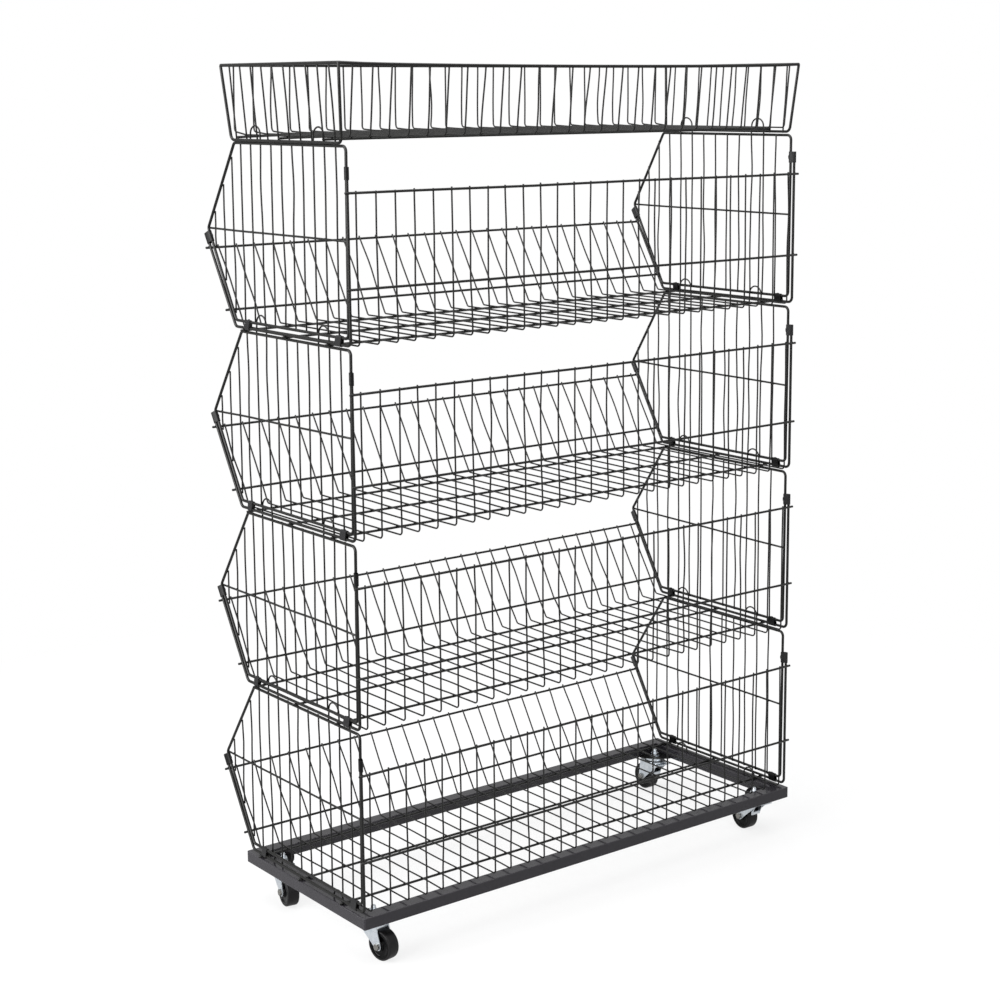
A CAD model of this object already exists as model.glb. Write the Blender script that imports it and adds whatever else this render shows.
import math
import random

import bpy
import numpy as np
from mathutils import Matrix, Vector


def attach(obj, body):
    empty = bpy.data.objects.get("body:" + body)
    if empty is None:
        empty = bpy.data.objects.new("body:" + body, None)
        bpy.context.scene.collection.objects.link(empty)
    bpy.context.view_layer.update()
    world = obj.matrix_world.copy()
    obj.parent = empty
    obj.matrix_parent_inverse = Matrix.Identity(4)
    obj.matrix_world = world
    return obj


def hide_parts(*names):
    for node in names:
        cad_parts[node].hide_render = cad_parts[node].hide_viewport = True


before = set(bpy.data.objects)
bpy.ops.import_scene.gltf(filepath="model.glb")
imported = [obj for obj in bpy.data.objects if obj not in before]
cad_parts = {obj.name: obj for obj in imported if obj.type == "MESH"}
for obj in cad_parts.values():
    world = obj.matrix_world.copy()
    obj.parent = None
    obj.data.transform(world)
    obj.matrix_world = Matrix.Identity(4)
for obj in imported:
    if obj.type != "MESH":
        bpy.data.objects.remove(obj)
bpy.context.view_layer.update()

MM = 0.001
X_WAY, Y_WAY, Z_WAY = np.eye(3)

# Sizes of the part, in millimetres. SEAT is the height of the lowest bin, and PITCH is from bin to bin
BINS = 4
SEAT = 87.3
PITCH = 296
PANEL_X = 457
WIRE_D, RAIL_D, FRAME_D, RIM_D, MID_D = 2.7, 4, 4.7, 5, 3.4
WIRE_R, RAIL_R, FRAME_R = WIRE_D / 2, RAIL_D / 2, FRAME_D / 2
WIRE_PITCH, WIRES_EACH_SIDE = 34.25, 13
WELD_BITE = 0.35
WIRE_BEND, FRAME_BEND = 6, 9
END_BAR_OUT, RAIL_TIP = 3, 4.5
END_BAR_X = PANEL_X + END_BAR_OUT
RAIL_HALF = END_BAR_X + FRAME_R + RAIL_TIP
HOPPER_LEAN = math.radians(31.25)
HOPPER_FOOT = 166.6
HOPPER_RAILS = (33.8, 147.1)
BACK_Y = 178
BACK_RAILS = (89.5, 230.3)
FLOOR_RAILS = (-138, -13, 112)
# How far the tips of wires and end bars stand past the rails, the back end bars bin by bin
WIRE_TIP, TIP_PLAY, HOPPER_BAR_TIP = 1, 0.7, 25
BACK_BAR_TIPS = {1: 22, 2: 20, 3: 29, 4: 35}
# From the middles of the rails to the middles of the wires and of the end bars
WIRE_INSET = RAIL_R + WIRE_R - WELD_BITE
FRAME_INSET = RAIL_R + FRAME_R - WELD_BITE

# End panels. PANEL_FOOT and PANEL_TOP are places along Y, and the feet stand PANEL_TUCK further out
PANEL_FOOT_Z = 16
PANEL_PLAY = 0.3
PANEL_TOP_Z = PITCH - PANEL_PLAY - FRAME_R
PANEL_FOOT = (-165, 166)
PANEL_TOP = (-151, 168.6)
PANEL_BENDS = (8, 8, 8, 7, 8)
PANEL_TUCK = 1.4
NOSE_Y, NOSE_Z = -248, 159.5
FIRST_UPRIGHT, UPRIGHT_PITCH, NOSE_UPRIGHT_PITCH = -141.6, 30.8, 29.3
UPRIGHTS = [FIRST_UPRIGHT + UPRIGHT_PITCH * i for i in range(10)]
NOSE_UPRIGHTS = [FIRST_UPRIGHT - NOSE_UPRIGHT_PITCH * i for i in (1, 2, 3)]
UPRIGHT_X = PANEL_X - FRAME_R - WIRE_R + WELD_BITE
MID_X = UPRIGHT_X + WIRE_R + MID_D / 2 - WELD_BITE / 2
# Loops: each joins the upright of this number with the next one
LOOPED = (1, 7)
LOOP_TOP, LOOP_DRAW_IN, LOOP_BEND, LOOP_NECK, ARCH_POINTS = 30, 0.8, 8, 1, 17
# How far each panel, by bin and side, hangs from its place: up at the nose, up at the back bar beside
# it, up at the top, and along Y at the nose and at the top's front corner
PANEL_SLIPS = {(1, 1): (-3, -3.5, 0, 0, 0), (2, 1): (-5, -5, 0, 0, 0), (3, 1): (-5, 3, 1.5, 0, -1),
               (4, 1): (0, 0, 4.5, 0, -5), (1, -1): (-3, -3.5, 0, 0, -3), (2, -1): (-0.5, -5.5, 0, 0, -5),
               (3, -1): (-4, -6, 0, 0, -6), (4, -1): (1.5, 0, 3, 3, -11)}

# Tray. The rim lies RIM_LOW below TRAY_RIM_Z, the back of it RIM_DROP more, and its middle sags by RIM_SAG
TRAY_SHIFT = 1.5
TRAY_HALF = 160
TRAY_FOOT_Z = RAIL_D + FRAME_R
TRAY_RAIL_Z = TRAY_FOOT_Z + FRAME_R + RAIL_R
TRAY_RAIL_HALF = END_BAR_X + 1
TRAY_HUMP, HUMP_PLAY, TRAY_BOW, TRAY_FLOOR_BEND = 4.5, 0.8, 3.5, 20
TRAY_RIM_Z, TRAY_RIM_BEND = 123.6, 4
RIM_LOW, RIM_DROP, RIM_SAG, RIM_CURVE = 1.8, 0.7, 4.5, 0.6
TRAY_SIDE_FLARE, TRAY_END_FLARE, TRAY_FRONT_TUCK = 12.5, 9, 1.2
TRAY_END_WIRES, TRAY_END_PITCH = 10, 32
TRAY_RISE = TRAY_RIM_Z - TRAY_FOOT_Z
TRAY_RIM_Y = TRAY_HALF + TRAY_SIDE_FLARE

# Casters: the side of each along X and Y, the way that its wheel trails in degrees, and how far it trails
BRAKED_TRAIL, PLAIN_TRAIL = 25, 22
CASTERS = {"front_left": (-1, -1, 268, BRAKED_TRAIL), "front_right": (1, -1, 80, PLAIN_TRAIL),
           "back_left": (-1, 1, 268, BRAKED_TRAIL), "back_right": (1, 1, 100, PLAIN_TRAIL)}
CASTER_X, CASTER_Y = 420, 138
WHEEL_R, WHEEL_W, SHOULDER_R = 25, 21, 3
BASE_HALF, TUBE_W = (465, 181), 25

# The longest stretch between two points of a line, and the sides of round bars
RAIL_STEP, RIM_STEP, FRAME_STEP, UPRIGHT_STEP, WIRE_STEP = 60, 40, 30, 20, 18
RAIL_SIDES, FRAME_SIDES = 12, 14
# How far wires stray sideways: at their welds, and between them
RAIL_STRAY, WIRE_STRAY, UPRIGHT_STRAY, LOOP_STRAY = (0.25, 0.3), (0.55, 1.1), (0.3, 1.5), (0.0, 1.2)
MID_STRAY, TRAY_WIRE_STRAY, TRAY_END_STRAY = (0.2, 0.5), (0.5, 1.6), (0.4, 1.4)
TROUGH_SEED, PANEL_SEED, TRAY_SEED = 100, 200, 7
# Half sizes of beads: at the welds of wires, at those of end bars, and on the tips of the tray's wires
BEAD_WAY, BEAD_ACROSS, BEAD_OUT, BEAD_SUNK = 2.3, 2.1, 0.8, 0.1
BAR_BEAD_WAY, BAR_BEAD_ACROSS = 2.8, 3.2
TIP_BEAD, END_TIP_BEAD = (2.4, 1.9, 2.3), (2.6, 2.1, 2.7)


def seat(k):
    return SEAT + (k - 1) * PITCH


TRAY_LIFT = np.array([0, TRAY_SHIFT, seat(BINS + 1)])


# Materials

# Scales of the noises, in waves per metre
BLOTCHES, PAINT_GLOSS = 22, 140
CLOUDS, ROLLED_LINES = 90, (60, 60, 1800)
PLASTIC_SHADES, PLASTIC_GLOSS = 60, 250
# The stretch of a noise's values that is spread over a whole blend, with crisp and with soft borders
CRISP, SOFT = (0.35, 0.65), (0.3, 0.7)
SHARP_EDGE = (0.52, 0.60)
FINE_DETAIL = 2.0
PAINT_BUMP, ZINC_BUMP = 0.0002, 0.0001


def shader(name, metallic=0.0, specular=0.5):
    mat = bpy.data.materials.new(name)
    mat.use_nodes = True
    tree = mat.node_tree
    bsdf = tree.nodes["Principled BSDF"]
    bsdf.inputs["Metallic"].default_value = metallic
    bsdf.inputs["Specular IOR Level"].default_value = specular
    coords = tree.nodes.new("ShaderNodeTexCoord")
    return mat, tree, bsdf, coords


def noise(tree, coords, scale, detail=3.0, rough=0.55):
    node = tree.nodes.new("ShaderNodeTexNoise")
    node.inputs["Scale"].default_value = scale
    node.inputs["Detail"].default_value = detail
    node.inputs["Roughness"].default_value = rough
    tree.links.new(coords.outputs["Object"], node.inputs["Vector"])
    return node.outputs["Fac"]


def span(tree, value, low, high, to_low=0, to_high=1):
    node = tree.nodes.new("ShaderNodeMapRange")
    for key, number in (("From Min", low), ("From Max", high), ("To Min", to_low), ("To Max", to_high)):
        node.inputs[key].default_value = number
    tree.links.new(value, node.inputs["Value"])
    return node.outputs["Result"]


def blend_colors(tree, factor, first, second):
    node = tree.nodes.new("ShaderNodeMix")
    node.data_type = "RGBA"
    tree.links.new(factor, node.inputs["Factor"])
    for socket, value in ((node.inputs["A"], first), (node.inputs["B"], second)):
        if isinstance(value, tuple):
            socket.default_value = (*value, 1)
        else:
            tree.links.new(value, socket)
    return node.outputs["Result"]


def bump(tree, bsdf, height, strength, distance):
    node = tree.nodes.new("ShaderNodeBump")
    node.inputs["Strength"].default_value = strength
    node.inputs["Distance"].default_value = distance
    tree.links.new(height, node.inputs["Height"])
    tree.links.new(node.outputs["Normal"], bsdf.inputs["Normal"])


def coating(name, dark, light, rough, specular, peel, depth, worn=None):
    """Paint over steel: blotches a few centimetres wide, fine orange peel, and paler paint on sharp edges"""
    mat, tree, bsdf, coords = shader(name, specular=specular)
    blotch = span(tree, noise(tree, coords, BLOTCHES), *CRISP)
    color = blend_colors(tree, blotch, dark, light)
    if worn:
        geometry = tree.nodes.new("ShaderNodeNewGeometry")
        edge = span(tree, geometry.outputs["Pointiness"], *SHARP_EDGE)
        color = blend_colors(tree, edge, color, worn)
    tree.links.new(color, bsdf.inputs["Base Color"])
    gloss = span(tree, noise(tree, coords, PAINT_GLOSS), *SOFT, *rough)
    tree.links.new(gloss, bsdf.inputs["Roughness"])
    bump(tree, bsdf, noise(tree, coords, peel, FINE_DETAIL), depth, PAINT_BUMP)
    return mat


def plated(name, dark, light, rough):
    """Bright zinc: cloudy patches and the fine lines of the rolled sheet"""
    mat, tree, bsdf, coords = shader(name, metallic=1.0)
    cloud = span(tree, noise(tree, coords, CLOUDS, 4.0), *SOFT)
    tree.links.new(blend_colors(tree, cloud, dark, light), bsdf.inputs["Base Color"])
    stretch = tree.nodes.new("ShaderNodeMapping")
    stretch.inputs["Scale"].default_value = ROLLED_LINES
    tree.links.new(coords.outputs["Object"], stretch.inputs["Vector"])
    lines = tree.nodes.new("ShaderNodeTexNoise")
    lines.inputs["Scale"].default_value = 1
    lines.inputs["Detail"].default_value = FINE_DETAIL
    tree.links.new(stretch.outputs["Vector"], lines.inputs["Vector"])
    tree.links.new(span(tree, lines.outputs["Fac"], *SOFT, *rough), bsdf.inputs["Roughness"])
    bump(tree, bsdf, lines.outputs["Fac"], 0.12, ZINC_BUMP)
    return mat


def moulded(name, dark, light, rough, specular, grain):
    """Moulded plastic: a faint grain and dull and shiny patches"""
    mat, tree, bsdf, coords = shader(name, specular=specular)
    shade = span(tree, noise(tree, coords, PLASTIC_SHADES), *CRISP)
    tree.links.new(blend_colors(tree, shade, dark, light), bsdf.inputs["Base Color"])
    gloss = span(tree, noise(tree, coords, PLASTIC_GLOSS), *SOFT, *rough)
    tree.links.new(gloss, bsdf.inputs["Roughness"])
    bump(tree, bsdf, noise(tree, coords, grain, FINE_DETAIL), 0.08, PAINT_BUMP)
    return mat


WIRE = coating("wire_black", (0.0024, 0.0024, 0.0020), (0.0040, 0.0040, 0.0034), (0.28, 0.36),
               specular=0.4, peel=500, depth=0.03)
BASE = coating("base_charcoal", (0.0190, 0.0177, 0.0212), (0.0222, 0.0207, 0.0247), (0.15, 0.20),
               specular=0.36, peel=600, depth=0.02, worn=(0.055, 0.052, 0.059))
PLATE = coating("plate_black", (0.004, 0.004, 0.004), (0.006, 0.006, 0.006), (0.3, 0.4),
                specular=0.25, peel=600, depth=0.03)
CLIP = coating("clip_black", (0.0030, 0.0030, 0.0031), (0.0050, 0.0050, 0.0052), (0.28, 0.36),
               specular=0.2, peel=600, depth=0.04, worn=(0.02, 0.02, 0.021))
ZINC = plated("zinc", (0.68, 0.74, 0.80), (0.86, 0.90, 0.94), (0.26, 0.42))
STEEL = plated("bare_steel", (0.24, 0.235, 0.22), (0.36, 0.35, 0.33), (0.24, 0.36))
HUB = moulded("wheel_black", (0.0015, 0.0015, 0.0017), (0.0026, 0.0026, 0.0030), (0.12, 0.20),
              specular=0.13, grain=500)
TREAD = moulded("wheel_tread", (0.0055, 0.0052, 0.0058), (0.0085, 0.0081, 0.0090), (0.34, 0.46),
                specular=0.25, grain=1400)


# Meshes

class Shape:
    """Gathers closed shells into one mesh"""

    def __init__(self):
        self.points = []
        self.faces = []
        self.slots = []

    def add(self, points, faces, slots=None):
        first = len(self.points)
        self.points.extend(tuple(float(v) * MM for v in p) for p in points)
        self.faces.extend(tuple(first + i for i in face) for face in faces)
        self.slots.extend(slots or [0] * len(faces))

    def piece(self, name, body, materials, slot, *nodes, smooth=50):
        mesh = bpy.data.meshes.new(name)
        mesh.from_pydata(self.points, [], self.faces)
        for material in materials:
            mesh.materials.append(material)
        mesh.polygons.foreach_set("material_index", self.slots)
        mesh.polygons.foreach_set("use_smooth", [True] * len(self.faces))
        mesh.set_sharp_from_angle(angle=math.radians(smooth))
        mesh.update()
        obj = bpy.data.objects.new(name, mesh)
        bpy.context.scene.collection.objects.link(obj)
        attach(obj, body)
        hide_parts(*nodes)


def unit(v):
    v = np.asarray(v, float)
    return v / np.linalg.norm(v)


def ring_faces(rings, sides, closed):
    """Faces between rings of as many points, which close in a loop or have a flat face at each end"""
    faces = []
    for i in range(rings if closed else rings - 1):
        a, b = i * sides, (i + 1) % rings * sides
        for j in range(sides):
            k = (j + 1) % sides
            faces.append((a + j, a + k, b + k, b + j))
    if not closed:
        faces.append(tuple(range(sides))[::-1])
        faces.append(tuple((rings - 1) * sides + j for j in range(sides)))
    return faces


# The rounded end of a wire, in radii of the wire: its length and the half width of its tip
END_LENGTH, END_TIP = 0.35, 0.68


def tube(shape, path, radius, plane, sides=10, closed=False):
    """A wire along path, its cut ends rounded over. plane is a direction that path never runs along"""
    path = np.asarray(path, float)
    if closed:
        ways = np.roll(path, -1, axis=0) - np.roll(path, 1, axis=0)
        radii = np.full(len(path), radius)
    else:
        edge = END_LENGTH * radius
        first, last = unit(path[1] - path[0]), unit(path[-1] - path[-2])
        path = np.vstack([path[:1], path[:1] + edge * first, path[1:-1], path[-1:] - edge * last, path[-1:]])
        ways = np.gradient(path, axis=0)
        ways[1], ways[-2] = first, last
        radii = np.full(len(path), radius)
        radii[0] = radii[-1] = END_TIP * radius
    turns = np.arange(sides) * 2 * math.pi / sides
    rings = []
    for p, way, r in zip(path, ways, radii):
        side = unit(np.cross(way, plane))
        up = unit(np.cross(side, way))
        rings.append(p + r * (np.cos(turns)[:, None] * up + np.sin(turns)[:, None] * side))
    shape.add(np.vstack(rings), ring_faces(len(path), sides, closed))


BLOB_RINGS, BLOB_SIDES = 5, 8


def blob(shape, centre, u, v, w):
    """A small flattened bead with half axes u, v and w"""
    points = [centre - w]
    for i in range(1, BLOB_RINGS):
        tilt = math.pi * i / BLOB_RINGS
        for j in range(BLOB_SIDES):
            turn = 2 * math.pi * j / BLOB_SIDES
            out = u * math.cos(turn) + v * math.sin(turn)
            points.append(centre - w * math.cos(tilt) + out * math.sin(tilt))
    points.append(centre + w)
    last = len(points) - 1
    faces = []
    for j in range(BLOB_SIDES):
        k = (j + 1) % BLOB_SIDES
        faces.append((0, 1 + k, 1 + j))
        faces.append((last, last - BLOB_SIDES + j, last - BLOB_SIDES + k))
        for i in range(BLOB_RINGS - 2):
            a, b = 1 + i * BLOB_SIDES, 1 + (i + 1) * BLOB_SIDES
            faces.append((a + j, a + k, b + k, b + j))
    shape.add(points, faces)


def rounded(corners, radii, closed=False, step=9.0):
    """Points of a flat line through corners, with a round bend at each and a point every step degrees"""
    corners = [np.asarray(c, float) for c in corners]
    n = len(corners)
    line = []
    for i, corner in enumerate(corners):
        if not closed and i in (0, n - 1):
            line.append(corner)
            continue
        before, after = unit(corners[i - 1] - corner), unit(corners[(i + 1) % n] - corner)
        opening = math.acos(np.clip(before @ after, -1, 1))
        leg = radii[i] / math.tan(opening / 2)
        centre = corner + unit(before + after) * radii[i] / math.sin(opening / 2)
        start, end = corner + before * leg - centre, corner + after * leg - centre
        swing = math.pi - opening
        count = max(2, math.ceil(swing / math.radians(step)))
        for j in range(count + 1):
            t = j / count
            a, b = math.sin((1 - t) * swing) / math.sin(swing), math.sin(t * swing) / math.sin(swing)
            line.append(centre + a * start + b * end)
    return line


def round_outline(corners, radii):
    return rounded(corners, radii, closed=True, step=12.0)


def circle(radius, centre=(0, 0), count=32):
    return [(centre[0] + radius * math.cos(t), centre[1] + radius * math.sin(t))
            for t in np.linspace(0, 2 * math.pi, count + 1)[:-1]]


def divided(line, longest, closed=False):
    """The same line with no stretch longer than longest"""
    line = [np.asarray(p, float) for p in line]
    ends = line[1:] + (line[:1] if closed else [])
    made = [line[0]] if not closed else []
    for p, q in zip(line, ends):
        if closed:
            made.append(p)
        count = max(1, math.ceil(np.linalg.norm(q - p) / longest))
        made.extend(p + (q - p) * j / count for j in range(1, count))
        if not closed:
            made.append(q)
    return made


def wander(path, pins, shift, sway, draw):
    """How far each point of a wire strays sideways: by shift at its pins, and by sway between them"""
    path = np.asarray(path, float)
    along = np.concatenate([[0], np.cumsum(np.linalg.norm(np.diff(path, axis=0), axis=1))])
    at = sorted(along[np.argmin(np.linalg.norm(path - np.asarray(pin, float), axis=1))] for pin in pins)
    held = [draw.gauss(0, shift) for _ in at]
    bows = [draw.gauss(0, sway) for _ in at]
    stray = np.interp(along, at, held)
    for i in range(len(at) - 1):
        inside = (along > at[i]) & (along < at[i + 1])
        share = (along[inside] - at[i]) / (at[i + 1] - at[i])
        stray[inside] += bows[i] * np.sin(math.pi * share) ** 2
    return stray


def in_side_plane(x, line):
    """A line of (Y, Z) at one place along X"""
    return np.array([(x, p[0], p[1]) for p in line])


# Bins

def hopper_point(inset, up):
    """Place in Y and Z on the hopper wall, at a distance up its slope and inset from its rails"""
    s, c = math.sin(HOPPER_LEAN), math.cos(HOPPER_LEAN)
    return np.array([-HOPPER_FOOT + inset * c - up * s, RAIL_R + inset * s + up * c])


def front_corner(inset):
    return hopper_point(inset, inset * (1 - math.sin(HOPPER_LEAN)) / math.cos(HOPPER_LEAN))


def trough_line(inset, bend, front_tip, back_tip):
    """A wire's way in Y and Z: down the hopper wall, over the floor and up the back wall"""
    corners = [hopper_point(inset, front_tip), front_corner(inset), (BACK_Y - inset, RAIL_R + inset),
               (BACK_Y - inset, back_tip)]
    return divided(rounded(corners, [0, bend, bend, 0]), WIRE_STEP)


def weld(shape, centre, way, other, sunk):
    """Bead where a wire along way lies on a bar along other. sunk points from the wire to the bar"""
    blob(shape, centre + sunk * (WIRE_R - BEAD_SUNK), BEAD_WAY * way, BEAD_ACROSS * other, BEAD_OUT * sunk)


def make_trough(k):
    draw = random.Random(TROUGH_SEED + k)
    shape = Shape()
    lift = np.array([0, 0, seat(k)])
    # Rails: the place of each along the trough and the direction from it to the wires
    inward = np.array([math.cos(HOPPER_LEAN), math.sin(HOPPER_LEAN)])
    rails = [(hopper_point(0, up), inward) for up in HOPPER_RAILS]
    rails += [(np.array([y, RAIL_R]), np.array([0, 1])) for y in FLOOR_RAILS]
    rails += [(np.array([BACK_Y, up]), np.array([-1, 0])) for up in BACK_RAILS]
    for place, normal in rails:
        line = divided([(-RAIL_HALF, *place), (RAIL_HALF, *place)], RAIL_STEP)
        bow = wander(line, line[::4], *RAIL_STRAY, draw)
        line = np.array(line) + lift + bow[:, None] * np.array([0, normal[1], -normal[0]])
        tube(shape, line, RAIL_R, (0, *normal), sides=RAIL_SIDES)
    for i in range(-WIRES_EACH_SIDE, WIRES_EACH_SIDE + 1):
        x = i * WIRE_PITCH
        tips = [up + RAIL_R + WIRE_TIP + draw.uniform(-TIP_PLAY, TIP_PLAY)
                for up in (HOPPER_RAILS[1], BACK_RAILS[1])]
        line = in_side_plane(x, trough_line(WIRE_INSET, WIRE_BEND, *tips))
        pins = [(x, *(place + WIRE_INSET * normal)) for place, normal in rails]
        line[:, 0] += wander(line, pins, *WIRE_STRAY, draw)
        tube(shape, line + lift, WIRE_R, X_WAY)
        for pin, (_, normal) in zip(pins, rails):
            centre = line[np.argmin(np.linalg.norm(line - pin, axis=1))].copy()
            centre[1:] = pin[1:]
            along = np.array([0, normal[1], -normal[0]])
            weld(shape, centre + lift, along, X_WAY, -np.array([0, *normal]))
    for s in (-1, 1):
        line = trough_line(FRAME_INSET, FRAME_BEND, HOPPER_RAILS[1] + HOPPER_BAR_TIP,
                           BACK_RAILS[1] + BACK_BAR_TIPS[k])
        tube(shape, in_side_plane(s * END_BAR_X, line) + lift, FRAME_R, X_WAY, sides=FRAME_SIDES)
        for place, normal in rails:
            touch = place + (FRAME_INSET - FRAME_R + BEAD_SUNK) * normal
            along = np.array([0, normal[1], -normal[0]])
            centre = np.array([s * END_BAR_X, *touch]) + lift
            blob(shape, centre, BAR_BEAD_WAY * along, BAR_BEAD_ACROSS * X_WAY, np.array([0, *normal]))
    nodes = [f"bin_{k}_{part}" for part in ("floor", "hopper_wall", "back_wall")]
    shape.piece(f"bin_{k}_trough", f"bin_{k}", [WIRE], "wire_coating", *nodes)


def back_bar_y(z):
    """Place along Y of the panels' back bars at a height"""
    return np.interp(z, [PANEL_FOOT_Z, PANEL_TOP_Z], [PANEL_FOOT[1], PANEL_TOP[1]])


def make_panel(k, s, name):
    draw = random.Random(PANEL_SEED + 10 * k + s)
    shape = Shape()
    lean = math.atan2(PANEL_TUCK, PANEL_TOP_Z - PANEL_FOOT_Z)
    nose, back, high, nose_slip, top_slip = PANEL_SLIPS[k, s]
    nose_y, top_y = NOSE_Y + nose_slip, PANEL_TOP[0] + top_slip

    def placed(line):
        """Hangs a panel drawn upright as this one hangs, leans it, and mirrors it to its end"""
        line = np.array(line, float)
        for p in line:
            middle = np.interp(p[1], [NOSE_Y, PANEL_TOP[1]], [nose, back])
            heights = [PANEL_FOOT_Z, NOSE_Z, PANEL_TOP_Z, PANEL_TOP_Z + LOOP_TOP]
            p[2] += np.interp(p[2], heights, [0, middle, high, 0])
        up, out = line[:, 2] - PANEL_FOOT_Z, line[:, 0] - PANEL_X
        x = PANEL_X + PANEL_TUCK + out * math.cos(lean) - up * math.sin(lean)
        z = PANEL_FOOT_Z + out * math.sin(lean) + up * math.cos(lean)
        return np.column_stack([s * x, line[:, 1], z + seat(k)])

    # Frame
    corners = [(PANEL_FOOT[1], PANEL_FOOT_Z), (PANEL_TOP[1], PANEL_TOP_Z), (top_y, PANEL_TOP_Z),
               (nose_y, NOSE_Z), (PANEL_FOOT[0], PANEL_FOOT_Z)]
    line = divided(rounded(corners, PANEL_BENDS, closed=True), FRAME_STEP, closed=True)
    tube(shape, placed(in_side_plane(PANEL_X, line)), FRAME_R, X_WAY, sides=FRAME_SIDES, closed=True)

    # Single uprights
    foot, top = PANEL_FOOT_Z - WIRE_R, PANEL_TOP_Z + WIRE_R
    ends = [(y, foot, top) for i, y in enumerate(UPRIGHTS) if i not in LOOPED and i - 1 not in LOOPED]
    for y in NOSE_UPRIGHTS:
        low = NOSE_Z + (PANEL_FOOT_Z - NOSE_Z) * ((y - nose_y) / (PANEL_FOOT[0] - nose_y))
        tip = NOSE_Z + (PANEL_TOP_Z - NOSE_Z) * (y - nose_y) / (top_y - nose_y)
        ends.append((y, low, tip))
    for y, low, tip in ends:
        line = in_side_plane(UPRIGHT_X, divided([(y, low), (y, tip)], UPRIGHT_STEP))
        pins = [(UPRIGHT_X, y, z) for z in (low, NOSE_Z, tip)]
        line[:, 1] += wander(line, pins, *UPRIGHT_STRAY, draw)
        tube(shape, placed(line), WIRE_R, X_WAY)

    # Pairs of uprights that end in a loop
    loop_r = UPRIGHT_PITCH / 2 - LOOP_DRAW_IN
    arch_z = PITCH + LOOP_TOP - WIRE_R - loop_r
    for i in LOOPED:
        y, far = UPRIGHTS[i], UPRIGHTS[i + 1]
        left = rounded([(y, foot), (y, PITCH + LOOP_NECK), (y + LOOP_DRAW_IN, arch_z - LOOP_BEND / 2),
                        (y + LOOP_DRAW_IN, arch_z)], [0, LOOP_BEND, LOOP_BEND, 0])
        arch = [((y + far) / 2 - loop_r * math.cos(t), arch_z + loop_r * math.sin(t))
                for t in np.linspace(0, math.pi, ARCH_POINTS)[1:-1]]
        right = [(y + far - p[0], p[1]) for p in left[::-1]]
        line = in_side_plane(UPRIGHT_X, divided(left + arch + right, UPRIGHT_STEP))
        pins = [(UPRIGHT_X, side, z) for side in (y, far) for z in (foot, NOSE_Z, PANEL_TOP_Z)]
        stray = wander(line, pins, *LOOP_STRAY, draw)
        stray[line[:, 2] > PANEL_TOP_Z] = 0
        line[:, 1] += stray
        tube(shape, placed(line), WIRE_R, X_WAY)

    # Mid wire, and the welds of the uprights
    ends = [(nose_y + FRAME_R, NOSE_Z), (back_bar_y(NOSE_Z), NOSE_Z)]
    line = in_side_plane(MID_X, divided(ends, FRAME_STEP))
    line[:, 2] += wander(line, [line[0], line[len(line) // 2], line[-1]], *MID_STRAY, draw)
    tube(shape, placed(line), MID_D / 2, X_WAY)
    for y in UPRIGHTS + NOSE_UPRIGHTS:
        for z in ((PANEL_FOOT_Z, NOSE_Z, PANEL_TOP_Z) if y > PANEL_TOP[0] else (NOSE_Z,)):
            centre = placed([(UPRIGHT_X + WIRE_R - BEAD_SUNK, y, z)])[0]
            blob(shape, centre, BEAD_ACROSS * Y_WAY, BEAD_WAY * Z_WAY, BEAD_OUT * s * X_WAY)
    shape.piece(f"bin_{k}_end_{name}", f"bin_{k}", [WIRE], "wire_coating", f"bin_{k}_panel_{name}")


for number in range(1, BINS + 1):
    make_trough(number)
    make_panel(number, -1, "left")
    make_panel(number, 1, "right")


# Tray

def rim_sag(x, y):
    """How far the rim lies below TRAY_RIM_Z: a little along the front, and most in the middle of the back"""
    share = 0.5 + 0.5 * max(-1, min(1, y / TRAY_HALF))
    return RIM_LOW + share * (RIM_DROP + RIM_SAG * max(0, 1 - (x / RAIL_HALF) ** 2) ** RIM_CURVE)


def floor_rise(x, y):
    """The tray's floor bows up a little towards the front, between the ends"""
    return TRAY_BOW * max(0, 1 - (x / END_BAR_X) ** 4) * (TRAY_HALF - y) / (2 * TRAY_HALF)


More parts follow.
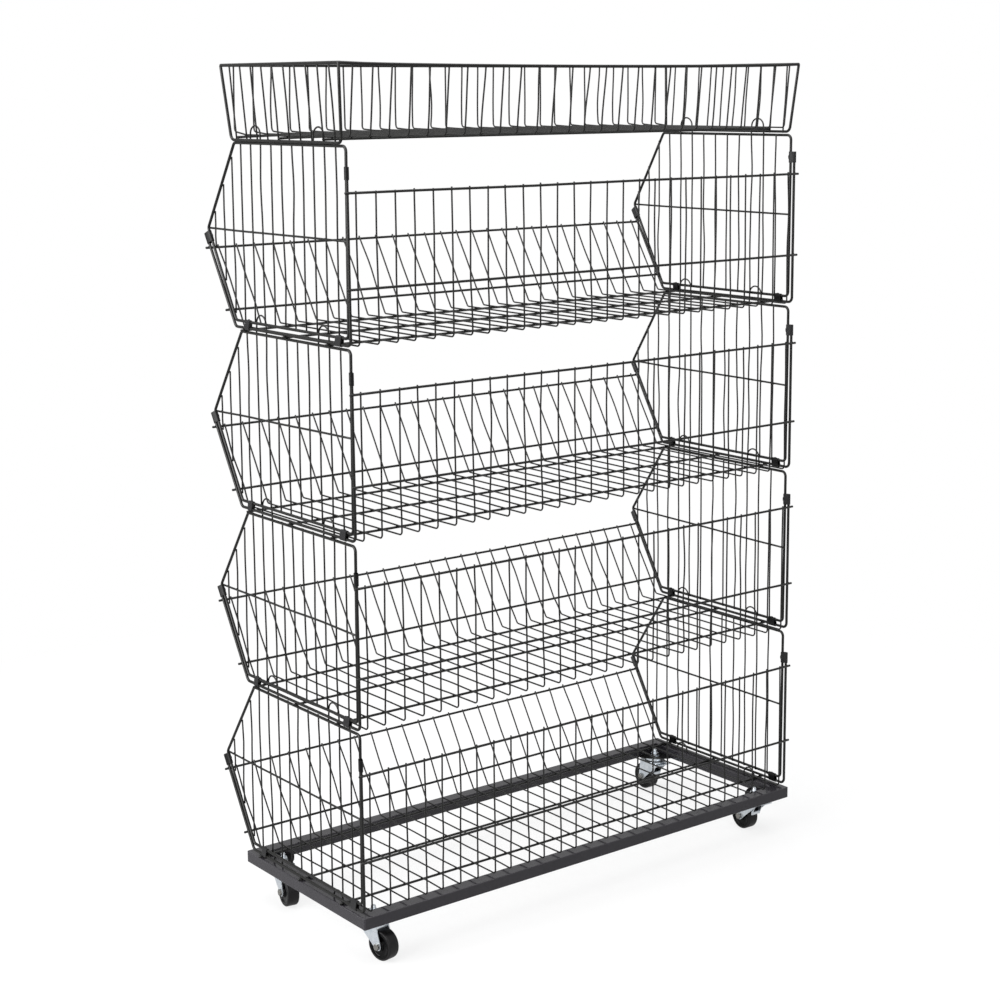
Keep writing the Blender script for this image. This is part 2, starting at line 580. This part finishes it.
def make_tray_grille(draw):
    """Floor, front wall and back wall. The front wall is nearly upright, and the back wall flares"""
    shape = Shape()
    corner_z = TRAY_RAIL_Z + WIRE_INSET
    back_foot = TRAY_HALF + (corner_z - TRAY_FOOT_Z) * (TRAY_SIDE_FLARE / TRAY_RISE)
    front_foot = TRAY_RIM_Y + TRAY_FRONT_TUCK
    for y in FLOOR_RAILS:
        line = divided([(-TRAY_RAIL_HALF, y, TRAY_RAIL_Z), (TRAY_RAIL_HALF, y, TRAY_RAIL_Z)], RAIL_STEP)
        line = np.array([(p[0], p[1], p[2] + floor_rise(p[0], y)) for p in line])
        tube(shape, line + seat(BINS + 1) * Z_WAY, RAIL_R, Z_WAY, sides=RAIL_SIDES)
    for i in range(-WIRES_EACH_SIDE, WIRES_EACH_SIDE + 1):
        x = i * WIRE_PITCH
        tops = [TRAY_RIM_Z - rim_sag(x, y) for y in (-TRAY_RIM_Y, TRAY_RIM_Y)]
        hump = TRAY_HUMP + draw.uniform(-HUMP_PLAY, HUMP_PLAY)
        corners = [(-TRAY_RIM_Y, tops[0]), (-front_foot, corner_z + hump),
                   (FLOOR_RAILS[0], corner_z + floor_rise(x, FLOOR_RAILS[0])),
                   (back_foot, corner_z), (TRAY_RIM_Y, tops[1])]
        bends = [0, WIRE_BEND, TRAY_FLOOR_BEND, WIRE_BEND, 0]
        line = in_side_plane(x, divided(rounded(corners, bends), WIRE_STEP))
        welds = [(x, y - TRAY_SHIFT, corner_z + floor_rise(x, y)) for y in FLOOR_RAILS]
        line[:, 0] += wander(line, [line[0], line[-1]] + welds, *TRAY_WIRE_STRAY, draw)
        tube(shape, line + TRAY_LIFT, WIRE_R, X_WAY)
        for pin in welds:
            near = line[np.argmin(np.linalg.norm(line - pin, axis=1))]
            centre = np.array([near[0], pin[1], pin[2]]) + TRAY_LIFT
            weld(shape, centre, Y_WAY, X_WAY, -Z_WAY)
        for tip in (line[0], line[-1]):
            blob(shape, tip + TRAY_LIFT, TIP_BEAD[0] * X_WAY, TIP_BEAD[1] * Y_WAY, TIP_BEAD[2] * Z_WAY)
    shape.piece("tray_grille", "tray", [WIRE], "wire_coating",
                "tray_floor", "tray_front_wall", "tray_back_wall")


def make_tray_frames(draw):
    """Rim, and the bent frame and the wires of each end"""
    shape = Shape()
    rim_x = END_BAR_X + TRAY_END_FLARE
    corners = [(rim_x, -TRAY_RIM_Y), (rim_x, TRAY_RIM_Y), (-rim_x, TRAY_RIM_Y), (-rim_x, -TRAY_RIM_Y)]
    rim = divided(rounded(corners, [TRAY_RIM_BEND] * 4, closed=True), RIM_STEP, closed=True)
    rim = np.array([(p[0], p[1], TRAY_RIM_Z - rim_sag(p[0], p[1])) for p in rim])
    tube(shape, rim + TRAY_LIFT, RIM_D / 2, Z_WAY, sides=FRAME_SIDES, closed=True)
    lean = math.atan2(TRAY_END_FLARE, TRAY_RISE)
    slant = math.hypot(TRAY_RISE, TRAY_END_FLARE)
    post = TRAY_RIM_Y - TRAY_RIM_BEND / 3
    tips = [slant - rim_sag(RAIL_HALF, y) for y in (-post, post)]

    def leaned(line, s):
        """A line of (Y, distance up the end wall) in its place on the wall at side s"""
        return np.array([(s * (END_BAR_X + p[1] * math.sin(lean)), p[0], TRAY_FOOT_Z + p[1] * math.cos(lean))
                         for p in line]) + TRAY_LIFT

    for s in (-1, 1):
        corners = [(-post, tips[0]), (-TRAY_HALF, 0), (TRAY_HALF, 0), (post, tips[1])]
        line = divided(rounded(corners, [0, FRAME_BEND, FRAME_BEND, 0]), FRAME_STEP)
        tube(shape, leaned(line, s), FRAME_R, X_WAY, sides=FRAME_SIDES)
        for i in range(TRAY_END_WIRES):
            y = (i - (TRAY_END_WIRES - 1) / 2) * TRAY_END_PITCH
            line = np.array(divided([(y, 0), (y, slant - rim_sag(RAIL_HALF, y))], WIRE_STEP))
            flat = np.column_stack([line, np.zeros(len(line))])
            line[:, 0] += wander(flat, [flat[0], flat[-1]], *TRAY_END_STRAY, draw)
            line = leaned(line, s)
            tube(shape, line, WIRE_R, X_WAY)
            for tip in (line[0], line[-1]):
                blob(shape, tip, END_TIP_BEAD[1] * Y_WAY, END_TIP_BEAD[0] * X_WAY, END_TIP_BEAD[2] * Z_WAY)
    shape.piece("tray_frames", "tray", [WIRE], "wire_coating", "tray_end_left", "tray_end_right")


tray_draw = random.Random(TRAY_SEED)
make_tray_grille(tray_draw)
make_tray_frames(tray_draw)


# Casters

def lathe(shape, profile, centre, axis, side, sides=64, slots=None):
    """Turns a closed profile of (radius, place along axis) about axis. slots has a material for each edge"""
    axis, side = unit(axis), unit(side)
    other = np.cross(axis, side)
    n = len(profile)
    points, faces, face_slots = [], [], []
    for j in range(sides):
        turn = 2 * math.pi * j / sides
        ray = side * math.cos(turn) + other * math.sin(turn)
        points.extend(centre + r * ray + a * axis for r, a in profile)
    for i in range(n):
        k = (i + 1) % n
        for j in range(sides):
            here, there = j * n, (j + 1) % sides * n
            faces.append((here + i, here + k, there + k, there + i))
        face_slots += [slots[i] if slots else 0] * sides
    shape.add(points, faces, face_slots)


def sheet(shape, outline, low, high, placed, edge=0.35):
    """A plate with softly broken edges. outline is convex, and placed takes (u, v, w) to its place"""
    outline = np.asarray(outline, float)
    middle = outline.mean(axis=0)
    inward = np.array([edge * unit(middle - p) for p in outline])
    rings = []
    for w, inset in ((low, 1), (low + edge, 0), (high - edge, 0), (high, 1)):
        flat = outline + inset * inward
        rings.append(np.array([placed(p[0], p[1], w) for p in flat]))
    shape.add(np.vstack(rings), ring_faces(len(rings), len(outline), False))


def hull_of(points):
    """Convex outline of flat points"""
    points = sorted({(round(float(p[0]), 6), round(float(p[1]), 6)) for p in points})

    def half(run):
        line = []
        for p in run:
            while len(line) > 1 and ((line[-1][0] - line[-2][0]) * (p[1] - line[-2][1])
                                     - (line[-1][1] - line[-2][1]) * (p[0] - line[-2][0])) <= 0:
                line.pop()
            line.append(p)
        return line[:-1]
    return half(points) + half(points[::-1])


def caster_frame(sx, sy, yaw):
    """Foot of a caster's swivel axis, the way that its wheel trails and the way that its axle runs"""
    turn = math.radians(yaw)
    way = np.array([math.cos(turn), math.sin(turn), 0])
    return np.array([sx * CASTER_X, sy * CASTER_Y, 0]), way, np.array([-way[1], way[0], 0])


def wheel_profile():
    """Section: glossy core with a sunk web and a hub, and a softer tread with round shoulders"""
    half, hub_half, bore = WHEEL_W / 2, WHEEL_W / 2 + 1, 3.05
    side = [(bore, hub_half - 0.4), (bore + 0.4, hub_half), (8.3, hub_half), (9, hub_half - 0.7),
            (9.4, half - 1.6), (10.2, half - 2), (16.6, half - 2), (17.6, half - 1.4), (18.3, half - 0.1),
            (19.3, half), (20.9, half), (21.1, half - 0.3), (21.4, half)]
    core_r, core_half = WHEEL_R - SHOULDER_R, half - SHOULDER_R
    shoulder = [(core_r + SHOULDER_R * math.sin(t), core_half + SHOULDER_R * math.cos(t))
                for t in np.linspace(0.35, math.pi / 2, 7)]
    right = side + shoulder
    profile = right + [(r, -a) for r, a in right[::-1]]
    tread_from = len(side) - 1
    slots = [int(tread_from <= i < len(profile) - tread_from - 1) for i in range(len(profile))]
    return profile, slots


def make_wheels():
    profile, slots = wheel_profile()
    for name, (sx, sy, yaw, trail) in CASTERS.items():
        foot, way, axis = caster_frame(sx, sy, yaw)
        shape = Shape()
        lathe(shape, profile, foot + trail * way + WHEEL_R * Z_WAY, axis, way, 96, slots)
        shape.piece(f"tyre_{name}", f"wheel_{name}", [HUB, TREAD], "wheel_plastic", f"wheel_{name}",
                    smooth=35)


# Forks. CROWN_SPANS has the front and back of each kind's crown, along the way that the wheel trails
CROWN_BOTTOM, CROWN_ABOVE, CROWN_BELOW = 60, 1.8, 4.5
CROWN_SPANS = {BRAKED_TRAIL: (-20, 27), PLAIN_TRAIL: (-25, 19)}
FORK_INNER, FORK_SHEET, FORK_EYE_R = 12, 2, 7
PEDAL_PIVOT = (-8, 52)
PEDAL_PIN = [(0.01, -15), (2.2, -15), (2.5, -14.7), (2.5, 14.7), (2.2, 15), (0.01, 15)]
CROWN_PROFILE = [(5.1, 60.1), (5.1, 61.8), (15.5, 61.8), (16.6, 62.9), (18.4, 63), (19.6, 62.6), (20, 61.8),
                 (20, 60.9), (19.5, 60.1)]


def make_forks():
    for name, (sx, sy, yaw, trail) in CASTERS.items():
        foot, way, side = caster_frame(sx, sy, yaw)
        front, back = CROWN_SPANS[trail]
        low_z, high_z = CROWN_BOTTOM - CROWN_BELOW, CROWN_BOTTOM + CROWN_ABOVE
        shape = Shape()
        top = round_outline([(front, low_z), (front, high_z), (back, high_z), (back, low_z)],
                            [0.5, 2.5, 2.5, 0.5])
        leg = hull_of(top + circle(FORK_EYE_R, (trail, WHEEL_R)))
        for s in (-1, 1):
            low, high = sorted((s * FORK_INNER, s * (FORK_INNER + FORK_SHEET)))
            sheet(shape, leg, low, high, lambda u, v, w: foot + u * way + v * Z_WAY + w * side)
        half = FORK_INNER + FORK_SHEET
        web = round_outline([(front, -half), (front, half), (back, half), (back, -half)], [3, 3, 3, 3])
        sheet(shape, web, CROWN_BOTTOM, CROWN_BOTTOM + FORK_SHEET,
              lambda u, v, w: foot + u * way + v * side + w * Z_WAY)
        lathe(shape, CROWN_PROFILE, foot, Z_WAY, way)
        if trail == BRAKED_TRAIL:
            pivot = foot + PEDAL_PIVOT[0] * way + PEDAL_PIVOT[1] * Z_WAY
            lathe(shape, PEDAL_PIN, pivot, side, Z_WAY, 32)
        shape.piece(f"yoke_{name}", f"caster_{name}", [ZINC], "zinc", f"fork_{name}", smooth=35)


# Stems, nuts and corner plates: heights over the floor, and sizes
PLATE_BOTTOM, PLATE_TOP, WASHER_TOP, NUT_TOP = 70, 71, 72, 77.8
STEM_HEAD = [(0.01, 57.2), (7.4, 57.2), (8, 57.8), (8, 59.2), (7.4, 59.7), (4, 59.7)]
STEM_END = [(3.5, 84), (0.01, 84)]
THREAD_TOP, THREAD_R, THREAD_DEPTH, THREAD_PITCH = 83.2, 4, 0.35, 1.25
NUT_R, NUT_TURN, WASHER_R = 7.5, 12, 8.6
GUSSET = [(0, 0), (48, 0), (48, 9), (38, 25), (25, 38), (9, 48), (0, 48)]
GUSSET_BENDS = [0.5, 0.5, 6, 6, 6, 6, 0.5]
GUSSET_BITE = 0.3


def thread(low, high):
    """Edge of a threaded stud from low to high"""
    count = int((high - low) / THREAD_PITCH)
    line = []
    for i in range(count):
        z = low + i * (high - low) / count
        line += [(THREAD_R, z), (THREAD_R - THREAD_DEPTH, z + 0.5 * (high - low) / count)]
    return line + [(THREAD_R, high)]


def make_stems():
    studs, nuts, plates = Shape(), Shape(), Shape()
    stud = STEM_HEAD + thread(PLATE_TOP, THREAD_TOP) + STEM_END
    turns = [math.radians(60 * i + NUT_TURN) for i in range(6)]
    hexagon = [(NUT_R * math.cos(t), NUT_R * math.sin(t)) for t in turns]
    gusset = round_outline(GUSSET, GUSSET_BENDS)
    corner_x, corner_y = (half - TUBE_W + GUSSET_BITE for half in BASE_HALF)
    for sx in (-1, 1):
        for sy in (-1, 1):
            foot = np.array([sx * CASTER_X, sy * CASTER_Y, 0])
            lathe(studs, stud, foot, Z_WAY, X_WAY, 32)
            sheet(nuts, hexagon, WASHER_TOP, NUT_TOP, lambda u, v, w: foot + np.array([u, v, w]), 0.6)
            sheet(nuts, circle(WASHER_R), PLATE_TOP, WASHER_TOP,
                  lambda u, v, w: foot + np.array([u, v, w]), 0.2)
            sheet(plates, gusset, PLATE_BOTTOM, PLATE_TOP,
                  lambda u, v, w: np.array([sx * (corner_x - u), sy * (corner_y - v), w]), 0.2)
    studs.piece("studs", "base", [ZINC], "zinc", "caster_stems", smooth=35)
    nuts.piece("nuts", "base", [ZINC], "zinc", "stem_nuts", smooth=35)
    plates.piece("gussets", "base", [PLATE], "black_paint", "corner_plates", smooth=35)


make_wheels()
make_forks()
make_stems()


# Clips: a thin sheet bent round two bars, with its end curled out

CLIP_SHEET, CLIP_PLAY, CLIP_EDGE = 0.9, 0.15, 0.25
CURL_PLACE, CURL_OUT, CURL_ACROSS = 0.7, 0.9, 1.6
# Latch clips: their width, and their lower edges below the tip of the back end bar and over the hopper's rail
LATCH_W, LATCH_BELOW_TIP, LATCH_OVER_RAIL = 19, 16, 3.4
# Hinge clips: their half widths, how far the back one stands off the last upright, and how far the
# front and the back one of each bin have slipped along Y
FRONT_HINGE_HALF, BACK_HINGE_HALF, BACK_HINGE_OUT = 6.5, 8, 8.5
HINGE_SLIPS = {1: (-2, 0), 2: (-9, -7), 3: (-10, -4), 4: (0, -4)}


def panel_x_at(z):
    return PANEL_X + (PANEL_TOP_Z - z) * PANEL_TUCK / (PANEL_TOP_Z - PANEL_FOOT_Z)


def strap(shape, a, b, low, high, placed):
    """A band round the bars at a and b, from low to high along them"""
    a, b = np.asarray(a, float), np.asarray(b, float)
    heading = math.atan2(b[1] - a[1], b[0] - a[0])
    middle_r = FRAME_R + CLIP_PLAY + CLIP_SHEET / 2
    arc = np.linspace(-math.pi / 2, math.pi / 2, 13)
    loop = [(b, heading + t) for t in arc] + [(a, heading + math.pi + t) for t in arc]
    half, cut = CLIP_SHEET / 2, CLIP_EDGE
    section = [(-half + cut, low), (half - cut, low), (half, low + cut), (half, high - cut),
               (half - cut, high), (-half + cut, high), (-half, high - cut), (-half, low + cut)]
    rings = []
    for centre, t in loop:
        out = np.array([math.cos(t), math.sin(t)])
        rings.append(np.array([placed(*(centre + (middle_r + r) * out), w) for r, w in section]))
    shape.add(np.vstack(rings), ring_faces(len(rings), len(section), True))
    out = np.array([math.cos(heading), math.sin(heading)])
    across = np.array([-out[1], out[0]])
    tip, middle = b + (middle_r + CURL_PLACE) * out, (low + high) / 2
    centre = placed(*tip, middle)
    u = placed(*(tip + CURL_OUT * out), middle) - centre
    v = placed(*(tip + CURL_ACROSS * across), middle) - centre
    w = placed(*tip, middle + (high - low) / 5) - centre
    blob(shape, centre, u, v, w)


def make_clips(k):
    latches, hinges = Shape(), Shape()
    lift = np.array([0, 0, seat(k)])
    s_lean, c_lean = math.sin(HOPPER_LEAN), math.cos(HOPPER_LEAN)
    front_slip, back_slip = HINGE_SLIPS[k]
    places = ((UPRIGHTS[0] + UPRIGHT_PITCH / 2 + front_slip, FRONT_HINGE_HALF),
              (UPRIGHTS[-1] + WIRE_R + BACK_HINGE_OUT + back_slip, BACK_HINGE_HALF))
    for s in (-1, 1):
        for y, half in places:
            strap(hinges, (END_BAR_X, RAIL_R + FRAME_INSET), (panel_x_at(PANEL_FOOT_Z), PANEL_FOOT_Z),
                  -half, half, lambda u, v, w: np.array([s * u, y + w, v]) + lift)
        low = BACK_RAILS[1] + BACK_BAR_TIPS[k] - LATCH_BELOW_TIP
        middle = low + LATCH_W / 2
        strap(latches, (END_BAR_X, BACK_Y - FRAME_INSET), (panel_x_at(middle), back_bar_y(middle)),
              low, low + LATCH_W, lambda u, v, w: np.array([s * u, v, w]) + lift)
        low = HOPPER_RAILS[1] + RAIL_R + LATCH_OVER_RAIL
        middle = (low + LATCH_W / 2) * c_lean
        nose, _, _, nose_slip, _ = PANEL_SLIPS[k, s]
        bar_y = np.interp(middle + RAIL_R, [PANEL_FOOT_Z, NOSE_Z + nose], [PANEL_FOOT[0], NOSE_Y + nose_slip])
        nose_inset = (HOPPER_FOOT + bar_y) * c_lean + middle * s_lean
        strap(latches, (END_BAR_X, FRAME_INSET), (panel_x_at(middle), nose_inset), low, low + LATCH_W,
              lambda u, v, w: np.array([s * u, *hopper_point(v, w)]) + lift)
    latches.piece(f"bin_{k}_latches", f"bin_{k}", [CLIP], "clip_steel", f"bin_{k}_latch_clips", smooth=35)
    hinges.piece(f"bin_{k}_hinges", f"bin_{k}", [CLIP], "clip_steel", f"bin_{k}_hinge_clips", smooth=35)


for number in range(1, BINS + 1):
    make_clips(number)


# CAD nodes that stay: a finish, and softly broken edges

def dress(node, material, width):
    """width is that of the broken edges, in millimetres"""
    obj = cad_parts[node]
    obj.data.materials.clear()
    obj.data.materials.append(material)
    join = obj.modifiers.new("join", "WELD")
    join.merge_threshold = 0.00001
    edge = obj.modifiers.new("edge", "BEVEL")
    edge.width = width * MM
    edge.segments = 2
    edge.limit_method = "ANGLE"
    edge.angle_limit = math.radians(40)


for rail_name in ("front", "back", "left", "right"):
    dress(f"base_rail_{rail_name}", BASE, 0.4)
dress("base_hoops", WIRE, 0.1)
dress("upper_races", ZINC, 0.6)
dress("race_balls", STEEL, 0.1)
for caster_name, (_, _, _, caster_trail) in CASTERS.items():
    dress(f"axle_{caster_name}", STEEL, 0.4)
    if caster_trail == BRAKED_TRAIL:
        dress(f"brake_pedal_{caster_name}", ZINC, 0.3)


# Stage, light and camera, in metres

FLOOR_HALF = 40
# The floor's white shows less within GLOW_NEAR of the rack, to keep the shadow, and is dimmer in reflections
GLOW_NEAR, GLOW_FAR, GLOW_LEAST, GLOW_IN_GLOSS = 0.7, 1.8, 0.8, 0.55
WORLD_LIGHT = 0.5
# Strength of the world in reflections, from the horizon up to MIRROR_TOP of the way overhead
MIRROR_TOP, MIRROR_LOW, MIRROR_HIGH = 0.9, 0.55, 1.2


def make_floor():
    mesh = bpy.data.meshes.new("floor")
    half = FLOOR_HALF
    mesh.from_pydata([(-half, -half, 0), (half, -half, 0), (half, half, 0), (-half, half, 0)], [],
                     [(0, 1, 2, 3)])
    floor = bpy.data.objects.new("floor", mesh)
    bpy.context.scene.collection.objects.link(floor)
    mat = bpy.data.materials.new("floor_white")
    mat.use_nodes = True
    tree = mat.node_tree
    bsdf = tree.nodes["Principled BSDF"]
    bsdf.inputs["Base Color"].default_value = (0.9, 0.9, 0.9, 1)
    bsdf.inputs["Roughness"].default_value = 0.9
    bsdf.inputs["Specular IOR Level"].default_value = 0
    rays = tree.nodes.new("ShaderNodeLightPath")
    seen = tree.nodes.new("ShaderNodeMath")
    seen.operation = "MAXIMUM"
    tree.links.new(rays.outputs["Is Camera Ray"], seen.inputs[0])
    tree.links.new(rays.outputs["Is Glossy Ray"], seen.inputs[1])
    geometry = tree.nodes.new("ShaderNodeNewGeometry")
    length = tree.nodes.new("ShaderNodeVectorMath")
    length.operation = "LENGTH"
    tree.links.new(geometry.outputs["Position"], length.inputs[0])
    away = span(tree, length.outputs["Value"], GLOW_NEAR, GLOW_FAR, GLOW_LEAST, 1)
    factor = tree.nodes.new("ShaderNodeMath")
    factor.operation = "MULTIPLY"
    tree.links.new(seen.outputs[0], factor.inputs[0])
    tree.links.new(away, factor.inputs[1])
    glow = tree.nodes.new("ShaderNodeEmission")
    tree.links.new(span(tree, rays.outputs["Is Glossy Ray"], 0, 1, 1, GLOW_IN_GLOSS), glow.inputs["Strength"])
    mix = tree.nodes.new("ShaderNodeMixShader")
    tree.links.new(factor.outputs[0], mix.inputs["Fac"])
    tree.links.new(bsdf.outputs["BSDF"], mix.inputs[1])
    tree.links.new(glow.outputs["Emission"], mix.inputs[2])
    tree.links.new(mix.outputs["Shader"], tree.nodes["Material Output"].inputs["Surface"])
    mesh.materials.append(mat)


def make_world():
    """White to the camera, brighter overhead than at the horizon in reflections, and dim as a light"""
    world = bpy.data.worlds.new("studio")
    bpy.context.scene.world = world
    world.use_nodes = True
    tree = world.node_tree
    lit = tree.nodes["Background"]
    lit.inputs["Color"].default_value = (0.98, 0.99, 1, 1)
    lit.inputs["Strength"].default_value = WORLD_LIGHT
    shown = tree.nodes.new("ShaderNodeBackground")
    shown.inputs["Color"].default_value = (1, 1, 1, 1)
    shown.inputs["Strength"].default_value = 1
    mirrored = tree.nodes.new("ShaderNodeBackground")
    coords = tree.nodes.new("ShaderNodeTexCoord")
    parts = tree.nodes.new("ShaderNodeSeparateXYZ")
    tree.links.new(coords.outputs["Generated"], parts.inputs[0])
    brightness = span(tree, parts.outputs["Z"], 0, MIRROR_TOP, MIRROR_LOW, MIRROR_HIGH)
    tree.links.new(brightness, mirrored.inputs["Strength"])
    rays = tree.nodes.new("ShaderNodeLightPath")
    glossy = tree.nodes.new("ShaderNodeMixShader")
    tree.links.new(rays.outputs["Is Glossy Ray"], glossy.inputs["Fac"])
    tree.links.new(lit.outputs["Background"], glossy.inputs[1])
    tree.links.new(mirrored.outputs["Background"], glossy.inputs[2])
    seen = tree.nodes.new("ShaderNodeMixShader")
    tree.links.new(rays.outputs["Is Camera Ray"], seen.inputs["Fac"])
    tree.links.new(glossy.outputs["Shader"], seen.inputs[1])
    tree.links.new(shown.outputs["Background"], seen.inputs[2])
    tree.links.new(seen.outputs["Shader"], tree.nodes["World Output"].inputs["Surface"])


def lamp(name, place, target, size, power):
    """A square area lamp aimed at target, its power in watts"""
    data = bpy.data.lights.new(name, "AREA")
    data.shape = "SQUARE"
    data.size = size
    data.energy = power
    obj = bpy.data.objects.new(name, data)
    bpy.context.scene.collection.objects.link(obj)
    obj.location = place
    obj.rotation_euler = (Vector(target) - Vector(place)).to_track_quat("-Z", "Y").to_euler()


# The photograph's camera. FOCAL_PX and PRINCIPAL are in pixels of a picture PHOTO_SIDE wide and high
AZIMUTH, ELEVATION, ROLL = (math.radians(v) for v in (141.9031, 10.3785, -0.4045))
CAMERA_PLACE = (2.01500, 2.59594, 1.34987)
PHOTO_SIDE = 1000
FOCAL_PX = 1956.95
PRINCIPAL = (535.14, 449.52)
SENSOR = 36
CLIP_END = 200


def make_camera():
    back = Vector((math.sin(AZIMUTH) * math.cos(ELEVATION), -math.cos(AZIMUTH) * math.cos(ELEVATION),
                   math.sin(ELEVATION)))
    right = (-back).cross(Vector((0, 0, 1))).normalized()
    up = right.cross(-back)
    right, up = (right * math.cos(ROLL) + up * math.sin(ROLL), up * math.cos(ROLL) - right * math.sin(ROLL))
    data = bpy.data.cameras.new("camera")
    data.sensor_width = SENSOR
    data.lens = SENSOR * FOCAL_PX / PHOTO_SIDE
    data.shift_x = (PHOTO_SIDE / 2 - PRINCIPAL[0]) / PHOTO_SIDE
    data.shift_y = (PRINCIPAL[1] - PHOTO_SIDE / 2) / PHOTO_SIDE
    data.clip_end = CLIP_END
    camera = bpy.data.objects.new("camera", data)
    bpy.context.scene.collection.objects.link(camera)
    camera.matrix_world = Matrix.Translation(CAMERA_PLACE) @ Matrix((right, up, back)).transposed().to_4x4()
    bpy.context.scene.camera = camera


make_floor()
make_world()
lamp("key", (4.6, -0.6, 2.6), (0, 0, 0.6), 4.4, 360)
lamp("fill", (0.5, 4.5, 2.6), (0, 0, 0.7), 2.6, 30)
lamp("top", (0, 0, 4.6), (0, 0, 0), 4.0, 130)
make_camera()
bpy.context.scene.view_settings.view_transform = "Standard"
